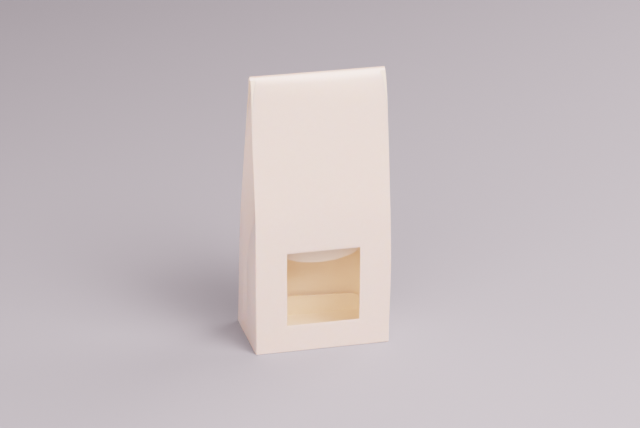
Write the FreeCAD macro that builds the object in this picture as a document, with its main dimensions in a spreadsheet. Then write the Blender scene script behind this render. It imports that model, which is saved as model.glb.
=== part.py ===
# Gift pouch: a carton folded from one sheet of board, with a window and a pinched top.
#
# The carton stands on its base with +Z up and the window facing -Y. The origin is the centre of
# the base's rectangle, on the surface that it stands on. Lengths are millimetres.
#
# The board is cut and folded as one piece: a front with the window, a back, two sides whose upper
# halves fold inwards as gussets, a base hinged to the front with a tuck flap inside the back, and
# a closing flap that turns over the ridge and hangs down inside behind the front.
import FreeCAD, Part
import math
import os
import Sketcher
from FreeCAD import Placement, Rotation, Vector

SIZES = {
    # overall
    "width": 100.0,
    "depth": 63.6,
    "height": 212.0,
    "board": 0.5,
    # the creases across the front, the back and the sides, where the top starts to lean
    "crease_height": 106.0,
    "crease_depth": 48.5,
    "crease_notch": 6.0,
    "flat_side_height": 72.0,
    # the mouth: the top edges of the back and the gussets, just under the ridge
    "mouth_drop": 2.5,
    "mouth_setback": 13.0,
    "mouth_depth": 6.0,
    "mouth_notch": 22.0,
    # the window in the front
    "window_width": 54.0,
    "window_length": 57.2,
    "window_sill": 21.7,
    # the closing flap, hinged at the ridge and kept clear of the gussets at the mouth
    "ridge_radius": 0.9,
    "closing_clearance": 1.5,
    "closing_end_height": 62.5,
    "closing_end_radius": 60.0,
    "closing_corner_radius": 8.0,
    # the base panel and its tuck flap
    "base_clearance": 0.25,
    "tuck_height": 17.5,
    "tuck_lean": 15.0,
    "tuck_taper": 7.75,
    "tuck_corner_radius": 6.0,
}

X_AXIS = Vector(1, 0, 0)
Y_AXIS = Vector(0, 1, 0)
Z_AXIS = Vector(0, 0, 1)
UPRIGHT = 90.0  # turns a sketch from the XY plane into the XZ plane, its Y axis up

# a sketch's own names for the ends of a line or arc, its origin and its two axes
START, END, CENTRE = 1, 2, 3
ORIGIN = (-1, 1)
ACROSS_LINE = -1
UP_LINE = -2

doc = FreeCAD.newDocument("GiftPouch")


def make_sheet():
    """The driving dimensions, one row each."""
    sheet = doc.addObject("Spreadsheet::Sheet", "Sizes")
    for row, (name, value) in enumerate(SIZES.items(), start=1):
        sheet.set(f"A{row}", name)
        sheet.set(f"B{row}", str(value))
        sheet.setAlias(f"B{row}", name)
    doc.recompute()


def bind(thing, expressions):
    """Tie properties of a document object to expressions on the sheet."""
    for name, expression in expressions.items():
        thing.setExpression(name, expression)


def add(kind, name, expressions=None, **properties):
    """Add a document object, set its plain properties and bind the others."""
    thing = doc.addObject(kind, name)
    for key, value in properties.items():
        setattr(thing, key, value)
    bind(thing, expressions or {})
    return thing


def measure(sketch, kind, places, expression, drawn=1.0):
    """Add a measured constraint whose value is an expression; it starts as it was drawn."""
    index = sketch.addConstraint(Sketcher.Constraint(kind, *places, drawn))
    sketch.setExpression(f"Constraints[{index}]", expression)


def polygon_sketch(name, corners, height):
    """A level closed polygon at a height, each corner's x and y given as expressions."""
    sketch = doc.addObject("Sketcher::SketchObject", name)
    count = len(corners)
    turn = 2 * math.pi / count
    start = [Vector(math.cos(turn * i), math.sin(turn * i), 0) for i in range(count)]
    for i in range(count):
        sketch.addGeometry(Part.LineSegment(start[i], start[(i + 1) % count]))
    for i in range(count):
        sketch.addConstraint(Sketcher.Constraint("Coincident", i, END, (i + 1) % count, START))
    for i, (x, y) in enumerate(corners):
        measure(sketch, "DistanceX", (*ORIGIN, i, START), x)
        measure(sketch, "DistanceY", (*ORIGIN, i, START), y)
    bind(sketch, {"Placement.Base.z": height})
    return sketch


def gusset_lines(depth, notch, wall):
    """How far out a side's corner and its valley lie at one height, moved inwards by a wall."""
    half = f"({depth}) / 2"
    leaf = f"sqrt(({notch})^2 + ({half})^2)"
    corner = f"(Sizes.width / 2 - {wall} * ({leaf} + {notch}) / ({half}))"
    valley = f"(Sizes.width / 2 - {notch} - {wall} * {leaf} / ({half}))"
    return corner, valley


def tube_section(name, height, setback, depth, notch, wall):
    """The tube's outline at one height, moved inwards by a wall.

    It has the front edge, the back edge, and on each side a notch that comes in by the gusset's
    depth half way between them. The notch is a straight side where its depth is nothing.
    """
    front = f"-Sizes.depth / 2 + {setback}"
    half = f"({depth}) / 2"
    corner, valley = gusset_lines(depth, notch, wall)
    near = f"{front} + {wall}"
    middle = f"{front} + {half}"
    far = f"{front} + {depth} - {wall}"
    corners = [
        (f"-{corner}", near),
        (corner, near),
        (valley, middle),
        (corner, far),
        (f"-{corner}", far),
        (f"-{valley}", middle),
    ]
    return polygon_sketch(name, corners, height)


def tube_surface(name, wall):
    """The tube as a solid, from the base to the mouth, moved inwards by a wall."""
    taper = "(Sizes.depth - Sizes.crease_depth) / Sizes.crease_height"
    flat_depth = f"(Sizes.depth - {taper} * Sizes.flat_side_height)"
    sections = [
        tube_section(f"{name}_base", "0", "0", "Sizes.depth", "0", wall),
        tube_section(f"{name}_flat", "Sizes.flat_side_height", "0", flat_depth, "0", wall),
        tube_section(
            f"{name}_crease", "Sizes.crease_height", "0",
            "Sizes.crease_depth", "Sizes.crease_notch", wall,
        ),
        tube_section(
            f"{name}_mouth", "Sizes.height - Sizes.mouth_drop", "Sizes.mouth_setback",
            "Sizes.mouth_depth", "Sizes.mouth_notch", wall,
        ),
    ]
    return add("Part::Loft", name, Sections=sections, Solid=True, Ruled=True)


def make_tube():
    """Front, back and gusseted sides, open at the base and at the mouth."""
    outside = tube_surface("outside", "0")
    inside = tube_surface("inside", "Sizes.board")
    return add("Part::Cut", "tube", Base=outside, Tool=inside)


# the front's slope above the crease, its thickness measured square to that slope, and the axis
# of the roll that turns the board over at the ridge
LEAN = "atan(Sizes.mouth_setback / (Sizes.height - Sizes.mouth_drop - Sizes.crease_height))"
LEAF = f"(Sizes.board * cos({LEAN}))"
ROLL_Z = "(Sizes.height - Sizes.ridge_radius)"
STRIP_TOP = f"({ROLL_Z} + Sizes.ridge_radius * sin({LEAN}))"
STRIP_FOOT = "(Sizes.height - 2 * Sizes.mouth_drop)"
ROLL_Y = (
    f"(-Sizes.depth / 2 + tan({LEAN}) * ({STRIP_TOP} - Sizes.crease_height)"
    f" + Sizes.ridge_radius * cos({LEAN}))"
)


def make_ridge():
    """The front's last strip above the mouth, and the roll that turns it back and down."""
    strip = add("Part::Box", "ridge_strip", Placement=Placement(Vector(), Rotation(-X_AXIS, 1)))
    bind(strip, {
        "Length": "Sizes.width",
        "Width": LEAF,
        "Height": f"({STRIP_TOP} - {STRIP_FOOT}) / cos({LEAN})",
        "Placement.Base.x": "-Sizes.width / 2",
        "Placement.Base.y": f"-Sizes.depth / 2 + tan({LEAN}) * ({STRIP_FOOT} - Sizes.crease_height)",
        "Placement.Base.z": STRIP_FOOT,
        "Placement.Rotation.Angle": LEAN,
    })
    # each cylinder lies along X, and the outer one sweeps from straight back to the front's slope
    along_x = Placement(Vector(), Rotation(Y_AXIS, Z_AXIS, X_AXIS))
    place = {
        "Height": "Sizes.width",
        "Placement.Base.x": "-Sizes.width / 2",
        "Placement.Base.y": ROLL_Y,
        "Placement.Base.z": ROLL_Z,
    }
    outer = add("Part::Cylinder", "roll_outside", place, Placement=along_x)
    bind(outer, {"Radius": "Sizes.ridge_radius", "Angle": f"180 deg - {LEAN}"})
    hollow = add("Part::Cylinder", "roll_inside", place, Placement=along_x)
    bind(hollow, {"Radius": f"Sizes.ridge_radius - {LEAF}"})
    return [strip, add("Part::Cut", "ridge_roll", Base=outer, Tool=hollow)]


# the back of the closing flap, and where the gussets' inner faces cross it at the mouth
CLOSING_Y = f"({ROLL_Y} + Sizes.ridge_radius)"
CORNER, VALLEY = gusset_lines("Sizes.mouth_depth", "Sizes.mouth_notch", "Sizes.board")
INNER_FRONT = "(Sizes.mouth_setback + Sizes.board - Sizes.depth / 2)"
SHARE = f"(({CLOSING_Y} - {INNER_FRONT}) / (Sizes.mouth_depth / 2 - Sizes.board))"
CLOSING_HALF = f"({CORNER} - ({CORNER} - {VALLEY}) * {SHARE} - Sizes.closing_clearance)"


def closing_outline():
    """The closing flap seen from the front: straight sides, rounded corners and a curved end."""
    half = SIZES["width"] / 2 - SIZES["mouth_notch"]
    corner = SIZES["closing_corner_radius"]
    end = SIZES["closing_end_radius"]
    top = SIZES["height"]
    end_z = SIZES["closing_end_height"] + end
    turn = math.acos((half - corner) / (end - corner))
    corner_z = end_z - (end - corner) * math.sin(turn)
    sketch = doc.addObject("Sketcher::SketchObject", "closing_outline")

    def arc(x, z, radius, first, last):
        circle = Part.Circle(Vector(x, z, 0), Z_AXIS, radius)
        sketch.addGeometry(Part.ArcOfCircle(circle, first, last))

    sketch.addGeometry(Part.LineSegment(Vector(-half, top, 0), Vector(half, top, 0)))
    sketch.addGeometry(Part.LineSegment(Vector(half, top, 0), Vector(half, corner_z, 0)))
    arc(half - corner, corner_z, corner, -turn, 0)
    arc(0, end_z, end, turn - math.pi, -turn)
    arc(corner - half, corner_z, corner, math.pi, math.pi + turn)
    sketch.addGeometry(Part.LineSegment(Vector(-half, corner_z, 0), Vector(-half, top, 0)))
    hinge, right, right_arc, end_arc, left_arc, left = range(6)
    for constraint in (
        ("Coincident", hinge, START, left, END),
        ("Coincident", hinge, END, right, START),
        ("Tangent", right, END, right_arc, END),
        ("Tangent", right_arc, START, end_arc, END),
        ("Tangent", end_arc, START, left_arc, END),
        ("Tangent", left_arc, START, left, START),
        ("Vertical", right),
        ("Vertical", left),
        ("Symmetric", hinge, START, hinge, END, UP_LINE),
        ("PointOnObject", end_arc, CENTRE, UP_LINE),
        ("Equal", right_arc, left_arc),
    ):
        sketch.addConstraint(Sketcher.Constraint(*constraint))
    centre_z = "Sizes.closing_end_height + Sizes.closing_end_radius"
    measure(sketch, "Distance", (hinge,), f"2 * {CLOSING_HALF}", 2 * half)
    measure(sketch, "DistanceY", (*ORIGIN, hinge, START), ROLL_Z, top)
    measure(sketch, "DistanceY", (*ORIGIN, end_arc, CENTRE), centre_z, end_z)
    measure(sketch, "Radius", (right_arc,), "Sizes.closing_corner_radius", corner)
    measure(sketch, "Radius", (end_arc,), "Sizes.closing_end_radius", end)
    return sketch


def make_closing_flap():
    """The closing flap: a long tongue that hangs from the roll, behind the front."""
    outline = closing_outline()
    outline.Placement = Placement(Vector(), Rotation(X_AXIS, UPRIGHT))
    bind(outline, {"Placement.Base.y": CLOSING_Y})
    return raise_outline("closing_flap", outline, LEAF)


# the base panel ends in a fold whose axis lies this far back, one board above the floor
FOLD_Y = "(Sizes.depth / 2 - 2 * Sizes.board - Sizes.base_clearance)"
BASE_WIDTH = "(Sizes.width - 2 * Sizes.board - 2 * Sizes.base_clearance)"


def make_base():
    """The base panel, hinged to the front's foot, and the fold at its back edge."""
    panel = add("Part::Box", "base_panel", {
        "Length": BASE_WIDTH,
        "Width": f"{FOLD_Y} + Sizes.depth / 2",
        "Height": "Sizes.board",
        "Placement.Base.x": f"-{BASE_WIDTH} / 2",
        "Placement.Base.y": "-Sizes.depth / 2",
    })
    along_x = Placement(Vector(), Rotation(Y_AXIS, Z_AXIS, X_AXIS))
    fold = add("Part::Cylinder", "base_fold", {
        "Radius": "Sizes.board",
        "Height": BASE_WIDTH,
        "Placement.Base.x": f"-{BASE_WIDTH} / 2",
        "Placement.Base.y": FOLD_Y,
        "Placement.Base.z": "Sizes.board",
    }, Placement=along_x)
    return [panel, fold]


def tuck_outline():
    """The tuck flap laid flat: it narrows from the base's width, with rounded corners."""
    foot = SIZES["width"] / 2
    tip = foot - SIZES["tuck_taper"]
    length = SIZES["tuck_height"]
    corner = SIZES["tuck_corner_radius"]
    slope = math.atan2(foot - tip, length)
    corner_y = length - corner
    side_x = tip + corner * math.cos(slope)
    side_y = corner_y + corner * math.sin(slope)
    sketch = doc.addObject("Sketcher::SketchObject", "tuck_outline")

    def line(x1, y1, x2, y2):
        sketch.addGeometry(Part.LineSegment(Vector(x1, y1, 0), Vector(x2, y2, 0)))

    def arc(x, first, last):
        circle = Part.Circle(Vector(x, corner_y, 0), Z_AXIS, corner)
        sketch.addGeometry(Part.ArcOfCircle(circle, first, last))

    line(-foot, 0, foot, 0)
    line(foot, 0, side_x, side_y)
    arc(tip, slope, math.pi / 2)
    line(tip, length, -tip, length)
    arc(-tip, math.pi / 2, math.pi - slope)
    line(-side_x, side_y, -foot, 0)
    hinge, right, right_arc, top, left_arc, left = range(6)
    for constraint in (
        ("Coincident", hinge, END, right, START),
        ("Tangent", right, END, right_arc, START),
        ("Tangent", right_arc, END, top, START),
        ("Tangent", top, END, left_arc, START),
        ("Tangent", left_arc, END, left, START),
        ("Coincident", left, END, hinge, START),
        ("Symmetric", hinge, START, hinge, END, UP_LINE),
        ("Symmetric", top, START, top, END, UP_LINE),
        ("Equal", right_arc, left_arc),
    ):
        sketch.addConstraint(Sketcher.Constraint(*constraint))
    sketch.addConstraint(Sketcher.Constraint("PointOnObject", hinge, START, ACROSS_LINE))
    measure(sketch, "Distance", (hinge,), BASE_WIDTH, 2 * foot)
    measure(sketch, "Distance", (top,), f"{BASE_WIDTH} - 2 * Sizes.tuck_taper", 2 * tip)
    measure(sketch, "DistanceY", (*ORIGIN, top, START), "Sizes.tuck_height", length)
    measure(sketch, "Radius", (right_arc,), "Sizes.tuck_corner_radius", corner)
    return sketch


def make_tuck_flap():
    """The tuck flap, which stands up from the base's back fold and leans off the back."""
    outline = tuck_outline()
    outline.Placement = Placement(Vector(), Rotation(X_AXIS, UPRIGHT))
    bind(outline, {
        "Placement.Base.y": f"{FOLD_Y} + Sizes.board * cos(Sizes.tuck_lean * 1 deg)",
        "Placement.Base.z": "Sizes.board + Sizes.board * sin(Sizes.tuck_lean * 1 deg)",
        "Placement.Rotation.Angle": f"{UPRIGHT} + Sizes.tuck_lean",
    })
    return raise_outline("tuck_flap", outline, "Sizes.board")


def raise_outline(name, outline, thickness):
    """Give a flap's outline the board's thickness, towards the front."""
    return add(
        "Part::Extrusion", name, {"LengthFwd": thickness},
        Base=outline, DirMode="Normal", Solid=True,
    )


def make_carton():
    """The folded board as one piece, with the window cut through its front."""
    pieces = [make_tube(), *make_ridge(), make_closing_flap(), *make_base(), make_tuck_flap()]
    board = add("Part::MultiFuse", "folded_board", Shapes=pieces, Refine=True)
    window = add("Part::Box", "window_block", {
        "Length": "Sizes.window_width",
        "Width": "3 * Sizes.board",
        "Height": "Sizes.window_length",
        "Placement.Base.x": "-Sizes.window_width / 2",
        "Placement.Base.y": "-Sizes.depth / 2 - Sizes.board",
        "Placement.Base.z": "Sizes.window_sill",
    })
    return add("Part::Cut", "carton", Base=board, Tool=window)


def check_document():
    """Stop if any object failed to compute or has a bad shape."""
    for thing in doc.Objects:
        if "Invalid" in thing.State or "Error" in thing.State:
            raise RuntimeError(f"{thing.Name} failed: {thing.State}")
        shape = getattr(thing, "Shape", None)
        if shape is not None and (shape.isNull() or not shape.isValid()):
            raise RuntimeError(f"{thing.Name} has a bad shape")


def export(node):
    """Write one sub-part to the file that carries its label."""
    os.makedirs("parts", exist_ok=True)
    node.Shape.exportStep(f"parts/{node.Label}.step")


make_sheet()
carton = make_carton()
doc.recompute()
check_document()
if len(carton.Shape.Solids) != 1:
    raise RuntimeError("the carton is not one piece of board")
export(carton)
print(f"carton: {carton.Shape.Volume:.0f} mm3, {len(carton.Shape.Faces)} faces")
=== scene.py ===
import math

import bpy
import bmesh
from mathutils import Matrix, Vector


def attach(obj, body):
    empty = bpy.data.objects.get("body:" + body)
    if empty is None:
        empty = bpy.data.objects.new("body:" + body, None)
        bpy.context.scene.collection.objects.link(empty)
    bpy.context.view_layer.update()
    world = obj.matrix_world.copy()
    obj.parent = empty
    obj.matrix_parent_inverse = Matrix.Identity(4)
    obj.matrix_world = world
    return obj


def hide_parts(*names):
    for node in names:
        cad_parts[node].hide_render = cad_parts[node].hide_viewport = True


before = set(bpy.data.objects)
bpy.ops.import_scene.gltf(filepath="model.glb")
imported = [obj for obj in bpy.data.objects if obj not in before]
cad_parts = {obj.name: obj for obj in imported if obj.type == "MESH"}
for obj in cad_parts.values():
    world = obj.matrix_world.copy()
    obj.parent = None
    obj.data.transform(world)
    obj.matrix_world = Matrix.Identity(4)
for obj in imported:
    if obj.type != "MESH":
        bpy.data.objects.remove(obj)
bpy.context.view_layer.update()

MM = 0.001

# ---------------------------------------------------------------- camera
CAMERA_SENSOR = 36.0  # this and the lens in millimetres, the rest in metres
CAMERA_LENS = 151.9
CAMERA_REACH = 20.0
CAMERA_PLACE = Vector((-0.43322, -1.77666, 0.85284))
CAMERA_AIM = Vector((0.22153, 0.89677, -0.38305))
CAMERA_ROLL = math.radians(0.116)

camera_data = bpy.data.cameras.new("camera")
camera_data.sensor_width = CAMERA_SENSOR
camera_data.lens = CAMERA_LENS
camera_data.clip_end = CAMERA_REACH
camera = bpy.data.objects.new("camera", camera_data)
bpy.context.scene.collection.objects.link(camera)
bpy.context.scene.camera = camera
facing = CAMERA_AIM.to_track_quat("-Z", "Y").to_matrix().to_4x4()
camera.matrix_world = (
    Matrix.Translation(CAMERA_PLACE) @ facing @ Matrix.Rotation(CAMERA_ROLL, 4, "Z")
)

# ---------------------------------------------------------------- sizes, in millimetres
HALF_W = 50.0
DEPTH = 63.6
HEIGHT = 212.0
BOARD = 0.5
NEAR = 0.01  # points closer than this lie on the same line

# the tube: the levels where it folds, and how deep it is there
FLAT_Z = 72.0  # the sides are flat up to here
CREASE_Z = 106.0
CREASE_DEPTH = 48.5
CREASE_NOTCH = 6.0  # how far the sides' middles fold inwards
MOUTH_Z = 209.5
MOUTH_SETBACK = 13.0
MOUTH_DEPTH = 6.0
MOUTH_NOTCH = 22.0

# how far on either side of a crease the board turns
FRONT_BEND = 9.0
BACK_BEND = 6.0
FLAT_BEND = 7.0
NOTCH_BEND = 6.0

# the board is soft: how far its panels bow, and the heights between which they do
EDGES_FORWARD = (1.1, 4, 126)  # the front's edges below the crease
EDGES_BACK = (2.2, 100, 226)  # and above it
BACK_BULGE_LOW = (0.8, 3, 110)
BACK_BULGE_HIGH = (0.7, 100, 209)
LEFT_SWELL = (0.45, 2, 118)
RIGHT_SWELL_LOW = (0.7, 2, 118)
RIGHT_SWELL_HIGH = (0.55, 96, 215)
SIDE_BOW = (1.0, 0, 100)  # each half of a side
RIGHT_OUT = 0.5  # the right side stands out a little

# the front's left edge rolls off, and its fold is rounder, between these heights
LEFT_ROUND = (-60, 130)
LEFT_ROLL = 0.45
LEFT_ROLL_WIDE = 3.5

# folds: how far from a fold line its rounding starts, and the low bead beside it
FOLD = 0.75
LEFT_FOLD = 2.4  # the most at the left fold
BEAD_HIGH = 0.13
BEAD_WIDE = 1.1
BEAD_AT_FOLD = 0.6  # the share of a bead that is left on the fold line
FOOT = 1.0  # radius of the fold along the front of the base
ROLL = 0.9  # radius of the roll over the ridge

# the window, and the edge that the die presses in around it
WINDOW_X = 27.0
WINDOW_FOOT = 21.2
WINDOW_TOP = 78.5
WINDOW_OUT = 0.45  # it sits a little to the right
PRESS = 0.22
PRESS_WIDE = 0.6

# the closing flap, which hangs from the ridge behind the front
FLAP_X = 30.0
FLAP_END = 62.5
FLAP_END_RADIUS = 60.0
FLAP_CORNER = 8.0
FLAP_DROP = 1.1  # its end hangs this much lower
FLAP_SHIFT = 2.6  # and this much to the right
FLAP_SHIFT_POWER = 1.5
FLAP_LEAN = 0.9
FLAP_BELLY = 0.7
FLAP_SPRING = 3.5  # its end springs back
FLAP_SPRING_FROM = 0.88  # from this share of its length

# the base and the tuck flap
BASE_X = HALF_W - FOLD
TUCK_PLAY = 0.25
BASE_BACK = DEPTH / 2 - 2 * BOARD - TUCK_PLAY
BASE_START = 0.5  # where the base is flat, behind the foot
TUCK_FOLD = 0.6
TUCK_LENGTH = 18.6
TUCK_SLOPE = 0.045  # its top edge falls towards the right
TUCK_TOP_X = 41.5  # half its width, TUCK_TAPER up
TUCK_TAPER = 17.5
TUCK_CORNER = 6.0
TUCK_LEAN = math.radians(15.0)
TUCK_TWIST = (math.radians(1.5), -20, 48)  # it leans more between these places across

# the mouth bends back and comes down; pairs are for the left and the right
BEND_FROM = (199.0, 184.0)
BEND = 0.18
RIDGE_BEND_FROM = 207.0  # a tighter bend starts here
RIDGE_BEND = 0.17
DROP_FROM = 150.0
DROP = (1.8, 2.9)

# how fine the mesh is
COLUMN_PITCH = 2.6
ROW_PITCH = 2.4
FOLD_COLUMNS = (0.0, 0.35, 0.8, 1.4, 2.2, 3.4)  # distances from where a fold starts
FOOT_ROWS = (0.0, 0.1, 0.3, 0.6, 1.0, 1.5, 2.2)
BEND_ROW = 200.0
FOLD_STEPS = 4
SIDE_STEPS = 9
BACK_STEPS = 30
STRIP_STEPS = 4
ROLL_STEPS = 10
FLAP_STEPS = 56
TUCK_STEPS = 10

FRONT_LEAN = MOUTH_SETBACK / (MOUTH_Z - CREASE_Z)
BACK_LEAN = (DEPTH - CREASE_DEPTH) / CREASE_Z
BACK_TOP_LEAN = (CREASE_DEPTH - MOUTH_DEPTH - MOUTH_SETBACK) / (MOUTH_Z - CREASE_Z)


# ---------------------------------------------------------------- curves
def lerp(a, b, t):
    return a + (b - a) * t


def bent(z, knee, before, after, reach):
    """A line from 0 with one slope that turns smoothly to another at a knee."""
    start, end = knee - reach, knee + reach
    if z <= start:
        return before * z
    if z >= end:
        return before * knee + after * (z - knee)
    part = z - start
    return before * z + (after - before) * part * part / (4 * reach)


def hump(value, low, high):
    """0 outside a range and a smooth rise to 1 in its middle."""
    if value <= low or value >= high:
        return 0.0
    return math.sin(math.pi * (value - low) / (high - low)) ** 2


def bow(value, most, low, high):
    return most * hump(value, low, high)


def spaced(stops, pitch):
    """Values that hit every stop and lie about a pitch apart between them."""
    values = [stops[0]]
    for a, b in zip(stops, stops[1:]):
        count = max(1, round(abs(b - a) / pitch))
        values += [lerp(a, b, (i + 1) / count) for i in range(count)]
    return values


def bezier(a, corner, b):
    """Points from a to b that round a corner."""
    points = []
    for k in range(FOLD_STEPS + 1):
        t = k / FOLD_STEPS
        points.append(a * (1 - t) ** 2 + corner * 2 * t * (1 - t) + b * t * t)
    return points


def bead(distance):
    """The low ridge that a scored fold raises beside itself."""
    return BEAD_HIGH * math.exp(-((distance / BEAD_WIDE) ** 2))


# ---------------------------------------------------------------- where the panels lie
def front_y(x, z):
    """Upright to the crease, leaning back above it, with edges that bow."""
    y = -DEPTH / 2 + bent(z, CREASE_Z, 0.0, FRONT_LEAN, FRONT_BEND)
    across = (x / HALF_W) ** 2
    y -= bow(z, *EDGES_FORWARD) * across
    y += bow(z, *EDGES_BACK) * across
    past = max(LEFT_ROLL_WIDE - HALF_W - x, 0.0) / LEFT_ROLL_WIDE
    y += bow(z, LEFT_ROLL, *LEFT_ROUND) * past ** 2
    if z < FOOT:
        y += FOOT - math.sqrt(FOOT ** 2 - (FOOT - z) ** 2)
    return y


def back_y(x, z):
    """Leaning forward, more above the crease, and bulging in its middle."""
    y = DEPTH / 2 - bent(z, CREASE_Z, BACK_LEAN, BACK_TOP_LEAN, BACK_BEND)
    across = 1 - (x / HALF_W) ** 2
    return y + bow(z, *BACK_BULGE_LOW) * across + bow(z, *BACK_BULGE_HIGH) * across


def notch(z):
    """How far the middle line of a side is folded inwards."""
    slope = CREASE_NOTCH / (CREASE_Z - FLAT_Z)
    steeper = (MOUTH_NOTCH - CREASE_NOTCH) / (MOUTH_Z - CREASE_Z)
    rise = bent(z - FLAT_Z, 0.0, 0.0, slope, FLAT_BEND)
    return rise + bent(z - CREASE_Z, 0.0, 0.0, steeper - slope, NOTCH_BEND)


def left_x(z):
    return -HALF_W - bow(z, *LEFT_SWELL)


def right_x(z):
    return HALF_W + RIGHT_OUT + bow(z, *RIGHT_SWELL_LOW) + bow(z, *RIGHT_SWELL_HIGH)


# ---------------------------------------------------------------- the folded board
bm = bmesh.new()


def grid(rows, skip=None):
    """Faces between rows of points in millimetres; skip(i, j) leaves a cell open."""
    made = [[bm.verts.new(Vector(p) * MM) for p in row] for row in rows]
    for i in range(len(made) - 1):
        for j in range(len(made[0]) - 1):
            if skip and skip(i, j):
                continue
            ring = [made[i][j], made[i][j + 1], made[i + 1][j + 1], made[i + 1][j]]
            bm.faces.new(ring)


def grid_of_columns(columns, turned=False):
    """The same from columns of points; turned makes the faces look the other way."""
    rows = [list(row) for row in zip(*columns)]
    grid(rows[::-1] if turned else rows)


right_columns = [BASE_X - d for d in FOLD_COLUMNS]
right_columns += spaced(
    [right_columns[-1], FLAP_X, WINDOW_X + PRESS_WIDE, WINDOW_X, 0.0], COLUMN_PITCH
)[1:]
COLUMNS = [-x for x in right_columns] + right_columns[::-1][1:]
SPANS = len(COLUMNS) - 1

ROWS = spaced(
    [*FOOT_ROWS, WINDOW_FOOT - PRESS_WIDE, WINDOW_FOOT, FLAT_Z, WINDOW_TOP,
     WINDOW_TOP + PRESS_WIDE, CREASE_Z, BEND_ROW, MOUTH_Z],
    ROW_PITCH,
)


def fold_points(before, corner, after):
    """The rounding of a fold, reaching FOLD along the panel on either side of it."""
    a = corner + (before - corner).normalized() * FOLD
    b = corner + (after - corner).normalized() * FOLD
    return bezier(a, corner, b)


def pressed(x, z):
    """How far a point on the edge of the window lies in from the front."""
    level = WINDOW_FOOT - NEAR < z < WINDOW_TOP + NEAR
    beside = abs(abs(x) - WINDOW_X) < NEAR and level
    above_or_below = min(abs(z - WINDOW_FOOT), abs(z - WINDOW_TOP)) < NEAR
    return PRESS if beside or (above_or_below and abs(x) < WINDOW_X + NEAR) else 0.0


def between(a, b, count, most=0.0):
    """Points on the way from a to b, without the two, that bow outwards."""
    span = b - a
    out = Vector((span.y, -span.x, 0)).normalized()
    return [
        a + span * (i / count) + out * most * math.sin(math.pi * i / count)
        for i in range(1, count)
    ]


def tube_row(z):
    """One level of the tube, from the front's left edge round to itself."""
    left, right = left_x(z), right_x(z)

    def front_point(x):
        scale = (right if x > 0 else -left) / HALF_W
        # the window's shift fades towards the folds
        stretched = x * scale + WINDOW_OUT * (1 - (x / HALF_W) ** 4)
        y = front_y(x, z) - bead(BASE_X - abs(x)) + pressed(x, z)
        return Vector((stretched, y, z))

    # the fold lines: front and back at the left and right, and the sides' middles
    on_line = BEAD_AT_FOLD * BEAD_HIGH
    front_left = Vector((left, front_y(-HALF_W, z) - on_line, z))
    front_right = Vector((right, front_y(HALF_W, z) - on_line, z))
    back_left = Vector((left, back_y(-HALF_W, z), z))
    back_right = Vector((right, back_y(HALF_W, z), z))
    middle = (front_left.y + back_left.y) / 2
    left_middle = Vector((left + notch(z), middle, z))
    right_middle = Vector((right - notch(z), middle, z))

    front = [front_point(x) for x in COLUMNS]
    reach = lerp(FOLD, LEFT_FOLD, hump(z, *LEFT_ROUND))
    round_left = front_left + (left_middle - front_left).normalized() * reach
    fr = fold_points(front[-1], front_right, right_middle)
    mr = fold_points(front_right, right_middle, back_right)
    br = fold_points(right_middle, back_right, back_left)
    bl = fold_points(back_right, back_left, left_middle)
    ml = fold_points(back_left, left_middle, front_left)
    fl = bezier(round_left, front_left, front[0])
    back = between(br[-1], bl[0], BACK_STEPS)
    back = [Vector((p.x, back_y(p.x, z), z)) for p in back]

    def side(before, after):
        return between(before[-1], after[0], SIDE_STEPS, bow(z, *SIDE_BOW))

    return (
        front + fr[1:] + side(fr, mr) + mr + side(mr, br) + br
        + back + bl + side(bl, ml) + ml + side(ml, fl) + fl
    )


def in_window(i, j):
    if j >= SPANS:
        return False
    x = (COLUMNS[j] + COLUMNS[j + 1]) / 2
    z = (ROWS[i] + ROWS[i + 1]) / 2
    return abs(x) < WINDOW_X and WINDOW_FOOT < z < WINDOW_TOP


tube = [tube_row(z) for z in ROWS]
grid(tube, in_window)

# ---------------------------------------------------------------- the ridge
roll_z = HEIGHT - ROLL


def ridge_column(p):
    """From a point on the mouth up the strip above it and over the roll."""
    x = min(max(p.x, -HALF_W), HALF_W + RIGHT_OUT)
    probe = 0.2  # how far up and down the front's slope is felt
    slope = (front_y(x, roll_z + probe) - front_y(x, roll_z - probe)) / (2 * probe)
    lean = math.atan(slope)
    start_z = roll_z + ROLL * math.sin(lean)
    axis_y = front_y(x, start_z) + ROLL * math.cos(lean)
    points = [p.copy()]
    for i in range(1, STRIP_STEPS + 1):
        t = i / STRIP_STEPS
        z = lerp(MOUTH_Z, start_z, t)
        y = lerp(p.y + front_y(x, z) - front_y(x, MOUTH_Z), front_y(x, z), t)
        points.append(Vector((lerp(p.x, x, t), y, z)))
    for i in range(1, ROLL_STEPS + 1):
        turn = lerp(math.pi - lean, 0.0, i / ROLL_STEPS)
        y = axis_y + ROLL * math.cos(turn)
        points.append(Vector((x, y, roll_z + ROLL * math.sin(turn))))
    return points


# the strip runs from two points before the front to two points after it
mouth = tube[-1]
ridge = [ridge_column(p) for p in mouth[-3:-1] + mouth[:SPANS + 3]]
grid_of_columns(ridge)


# ---------------------------------------------------------------- the closing flap
def flap_end(x):
    """The height of the closing flap's end: a wide arc with rounded corners."""
    corner_x = FLAP_X - FLAP_CORNER
    turn = math.acos(corner_x / (FLAP_END_RADIUS - FLAP_CORNER))
    centre = FLAP_END + FLAP_END_RADIUS
    if abs(x) <= FLAP_END_RADIUS * math.cos(turn):
        return centre - math.sqrt(FLAP_END_RADIUS ** 2 - x * x)
    corner_z = centre - (FLAP_END_RADIUS - FLAP_CORNER) * math.sin(turn)
    return corner_z - math.sqrt(max(FLAP_CORNER ** 2 - (abs(x) - corner_x) ** 2, 0.0))


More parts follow.
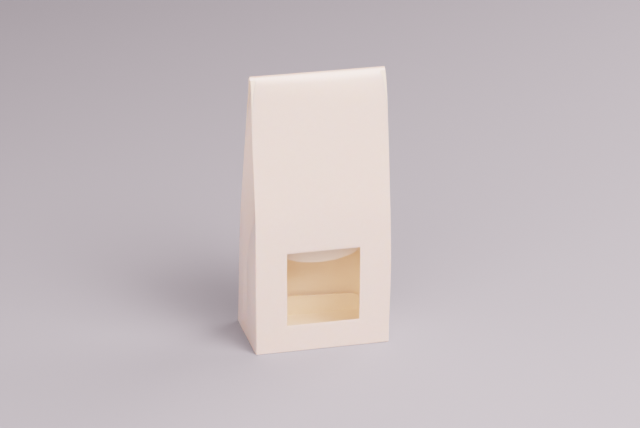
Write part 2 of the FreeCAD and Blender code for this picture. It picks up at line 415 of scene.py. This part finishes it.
def flap_column(p):
    """From a point on the roll's end down to the flap's end, which springs back."""
    end = flap_end(p.x) - FLAP_DROP
    points = []
    for i in range(FLAP_STEPS + 1):
        z = lerp(p.z, end, i / FLAP_STEPS)
        fall = (p.z - z) / (p.z - FLAP_END)
        spring = max(fall - FLAP_SPRING_FROM, 0.0) / (1 - FLAP_SPRING_FROM)
        y = p.y + FLAP_LEAN * fall + FLAP_BELLY * math.sin(math.pi * fall)
        y += FLAP_SPRING * spring * spring
        points.append(Vector((p.x + FLAP_SHIFT * fall ** FLAP_SHIFT_POWER, y, z)))
    return points


roll_end = [column[-1] for column in ridge]
grid_of_columns([flap_column(p) for p in roll_end if abs(p.x) <= FLAP_X + NEAR])


# ---------------------------------------------------------------- base and tuck flap
def base_column(p):
    """From a point on the front's foot to the back, and up the tuck flap to its end."""
    corner = Vector((p.x, BASE_BACK + BOARD, 0))
    lean = TUCK_LEAN + bow(p.x, *TUCK_TWIST)
    upward = Vector((0, -math.sin(lean), math.cos(lean)))
    points = [Vector((p.x, p.y, 0))]
    for y in spaced([p.y + BASE_START, corner.y - TUCK_FOLD], COLUMN_PITCH):
        points.append(Vector((p.x, y, 0)))
    points += bezier(points[-1], corner, corner + upward * TUCK_FOLD)[1:]
    length = TUCK_LENGTH - TUCK_SLOPE * p.x
    inset = TUCK_CORNER - (1 - abs(p.x) / BASE_X) * TUCK_TOP_X
    if inset > 0:
        length -= TUCK_CORNER - math.sqrt(max(TUCK_CORNER ** 2 - inset ** 2, 0.0))
    for i in range(1, TUCK_STEPS + 1):
        s = TUCK_FOLD + (length - TUCK_FOLD) * i / TUCK_STEPS
        narrow = lerp(1.0, TUCK_TOP_X / BASE_X, s / TUCK_TAPER)
        q = corner + upward * s
        points.append(Vector((p.x * narrow, q.y, q.z)))
    return points


front_foot = tube[0][:SPANS + 1]
grid_of_columns([base_column(p) for p in front_foot], turned=True)


# ---------------------------------------------------------------- the mouth's bend
def settle(vertex):
    """The mouth bends back and comes down a little, more so at the right."""
    x, y, z = vertex.co / MM
    share = min(max((x + HALF_W) / (2 * HALF_W), 0.0), 1.0)
    start = lerp(*BEND_FROM, share)
    wide = max(z - start, 0.0)
    tight = max(z - RIDGE_BEND_FROM, 0.0)
    fallen = max(z - DROP_FROM, 0.0) / (HEIGHT - DROP_FROM)
    y += BEND * wide * wide / (HEIGHT - start)
    y += RIDGE_BEND * tight * tight / (HEIGHT - RIDGE_BEND_FROM)
    z -= lerp(*DROP, share) * fallen ** 2
    vertex.co = Vector((x, y, z)) * MM


for vertex in bm.verts:
    settle(vertex)

WELD = 0.00001  # metres
bmesh.ops.remove_doubles(bm, verts=bm.verts, dist=WELD)
bmesh.ops.recalc_face_normals(bm, faces=bm.faces)
mesh = bpy.data.meshes.new("carton_board")
bm.to_mesh(mesh)
bm.free()
board = bpy.data.objects.new("carton_board", mesh)
bpy.context.scene.collection.objects.link(board)

# ---------------------------------------------------------------- materials
GRAIN_DETAIL = 3.0
GRAIN_DEPTH = 0.00004
CLOUD_COARSER = 9
TINT_STOPS = (0.3, 0.7)
# light passes into the board: how far in metres, and the share of that for each colour
SCATTER = {
    "Subsurface Weight": 1.0,
    "Subsurface Radius": (1.0, 0.82, 0.62),
    "Subsurface Scale": 0.0003,
}


def material(name, sockets):
    mat = bpy.data.materials.new(name)
    mat.use_nodes = True
    shader = mat.node_tree.nodes["Principled BSDF"]
    for socket, value in sockets.items():
        shader.inputs[socket].default_value = value
    return mat


def board_material(name, sockets, grain_scale, grain_strength, tints):
    """Pressed fibres: a fine grain over a broader cloudiness, which also tints."""
    mat = material(name, sockets)
    nodes, links = mat.node_tree.nodes, mat.node_tree.links
    shader = nodes["Principled BSDF"]
    place = nodes.new("ShaderNodeTexCoord")
    grain = nodes.new("ShaderNodeTexNoise")
    grain.inputs["Scale"].default_value = grain_scale
    grain.inputs["Detail"].default_value = GRAIN_DETAIL
    cloud = nodes.new("ShaderNodeTexNoise")
    cloud.inputs["Scale"].default_value = grain_scale / CLOUD_COARSER
    both = nodes.new("ShaderNodeMath")
    both.operation = "ADD"
    bump = nodes.new("ShaderNodeBump")
    bump.inputs["Strength"].default_value = grain_strength
    bump.inputs["Distance"].default_value = GRAIN_DEPTH
    links.new(place.outputs["Object"], grain.inputs["Vector"])
    links.new(place.outputs["Object"], cloud.inputs["Vector"])
    links.new(grain.outputs["Fac"], both.inputs[0])
    links.new(cloud.outputs["Fac"], both.inputs[1])
    links.new(both.outputs[0], bump.inputs["Height"])
    links.new(bump.outputs["Normal"], shader.inputs["Normal"])

    tint = nodes.new("ShaderNodeValToRGB")
    for element, stop, colour in zip(tint.color_ramp.elements, TINT_STOPS, tints):
        element.position = stop
        element.color = (*colour, 1)
    links.new(cloud.outputs["Fac"], tint.inputs["Fac"])
    links.new(tint.outputs["Color"], shader.inputs["Base Color"])
    return mat


# in the order of the thickness modifier's faces: outer, inner and rim
mesh.materials.append(board_material(
    "pearl_board_outside",
    {"Roughness": 0.36, "Specular IOR Level": 0.8, "Coat Weight": 0.5,
     "Coat Roughness": 0.28, "Coat IOR": 1.7, **SCATTER},
    grain_scale=2600,
    grain_strength=0.25,
    tints=((0.905, 0.775, 0.70), (0.925, 0.795, 0.72)),
))
mesh.materials.append(board_material(
    "uncoated_board_inside",
    {"Roughness": 0.8, "Specular IOR Level": 0.3},
    grain_scale=1900,
    grain_strength=0.4,
    tints=((0.985, 0.88, 0.725), (0.99, 0.89, 0.74)),
))
mesh.materials.append(board_material(
    "board_cut_edge",
    {"Roughness": 0.9, **SCATTER},
    grain_scale=3000,
    grain_strength=0.5,
    tints=((0.89, 0.82, 0.74), (0.92, 0.85, 0.77)),
))

# ---------------------------------------------------------------- thickness
SHARP_ANGLE = math.radians(50)

thick = board.modifiers.new("board", "SOLIDIFY")
thick.thickness = BOARD * MM
thick.offset = -1.0
thick.use_even_offset = True
thick.use_quality_normals = True
thick.material_offset = 1
thick.material_offset_rim = 2
bpy.context.view_layer.objects.active = board
board.select_set(True)
bpy.ops.object.modifier_apply(modifier=thick.name)
for polygon in board.data.polygons:
    polygon.use_smooth = True
board.data.set_sharp_from_angle(angle=SHARP_ANGLE)
board.select_set(False)

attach(board, "root")
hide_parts("carton")

# ---------------------------------------------------------------- floor, in metres
FLOOR_CORNERS = ((-6, -5), (6, -5), (6, 7), (-6, 7))
FLOOR_COLOUR = (0.363, 0.426, 0.521, 1)

floor_mesh = bpy.data.meshes.new("floor")
fb = bmesh.new()
for x, y in FLOOR_CORNERS:
    fb.verts.new((x, y, 0))
fb.faces.new(fb.verts)
fb.to_mesh(floor_mesh)
fb.free()
floor = bpy.data.objects.new("floor", floor_mesh)
bpy.context.scene.collection.objects.link(floor)
paper = material("backdrop_paper", {"Base Color": FLOOR_COLOUR, "Roughness": 0.85})
floor_mesh.materials.append(paper)

# ---------------------------------------------------------------- picture and backdrop
scene = bpy.context.scene
scene.view_settings.view_transform = "Filmic"
scene.view_settings.look = "Medium High Contrast"
scene.cycles.max_bounces = 16
scene.cycles.diffuse_bounces = 12

# the pale backdrop beyond the floor is only seen: the lamps give all the light
BACKDROP_COLOUR = (0.40, 0.385, 0.41, 1)

world = bpy.data.worlds.new("studio")
scene.world = world
world.use_nodes = True
sky = world.node_tree
dark = sky.nodes["Background"]
dark.inputs["Strength"].default_value = 0.0
pale = sky.nodes.new("ShaderNodeBackground")
pale.inputs["Color"].default_value = BACKDROP_COLOUR
ray = sky.nodes.new("ShaderNodeLightPath")
seen = sky.nodes.new("ShaderNodeMixShader")
sky.links.new(ray.outputs["Is Camera Ray"], seen.inputs[0])
sky.links.new(dark.outputs[0], seen.inputs[1])
sky.links.new(pale.outputs[0], seen.inputs[2])
sky.links.new(seen.outputs[0], sky.nodes["World Output"].inputs["Surface"])

# ---------------------------------------------------------------- lamps
WARM = (1.0, 0.737, 0.67)
LAMP_AIM = Vector((0, 0, 0.08))
LAMP_LIFT = 0.05
# name, azimuth (0 is the front and 90 the right) and height in degrees,
# distance and size in metres, power in watts
LAMPS = (
    ("key", 18, 45, 1.6, 0.8, 19.0),
    ("right_key", 35, 48, 1.6, 0.8, 25.0),
    ("front_softbox", 0, 30, 2.5, 2.5, 13.0),
    ("left_softbox", -35, 30, 1.6, 1.0, 14.5),
    ("left_fill", -80, 12, 1.5, 1.0, 8.5),
    ("right_fill", 110, 30, 1.5, 1.0, 18.0),
    ("back_fill", 170, 50, 2.3, 1.4, 7.0),
)

for name, azimuth, height, away, size, power in LAMPS:
    turn, tilt = math.radians(azimuth), math.radians(height)
    level = away * math.cos(tilt)
    data = bpy.data.lights.new(name, "AREA")
    data.shape = "SQUARE"
    data.size = size
    data.energy = power
    data.color = WARM
    lamp = bpy.data.objects.new(name, data)
    rise = away * math.sin(tilt) + LAMP_LIFT
    lamp.location = (level * math.sin(turn), -level * math.cos(turn), rise)
    toward = LAMP_AIM - lamp.location
    lamp.rotation_euler = toward.to_track_quat("-Z", "Y").to_euler()
    scene.collection.objects.link(lamp)
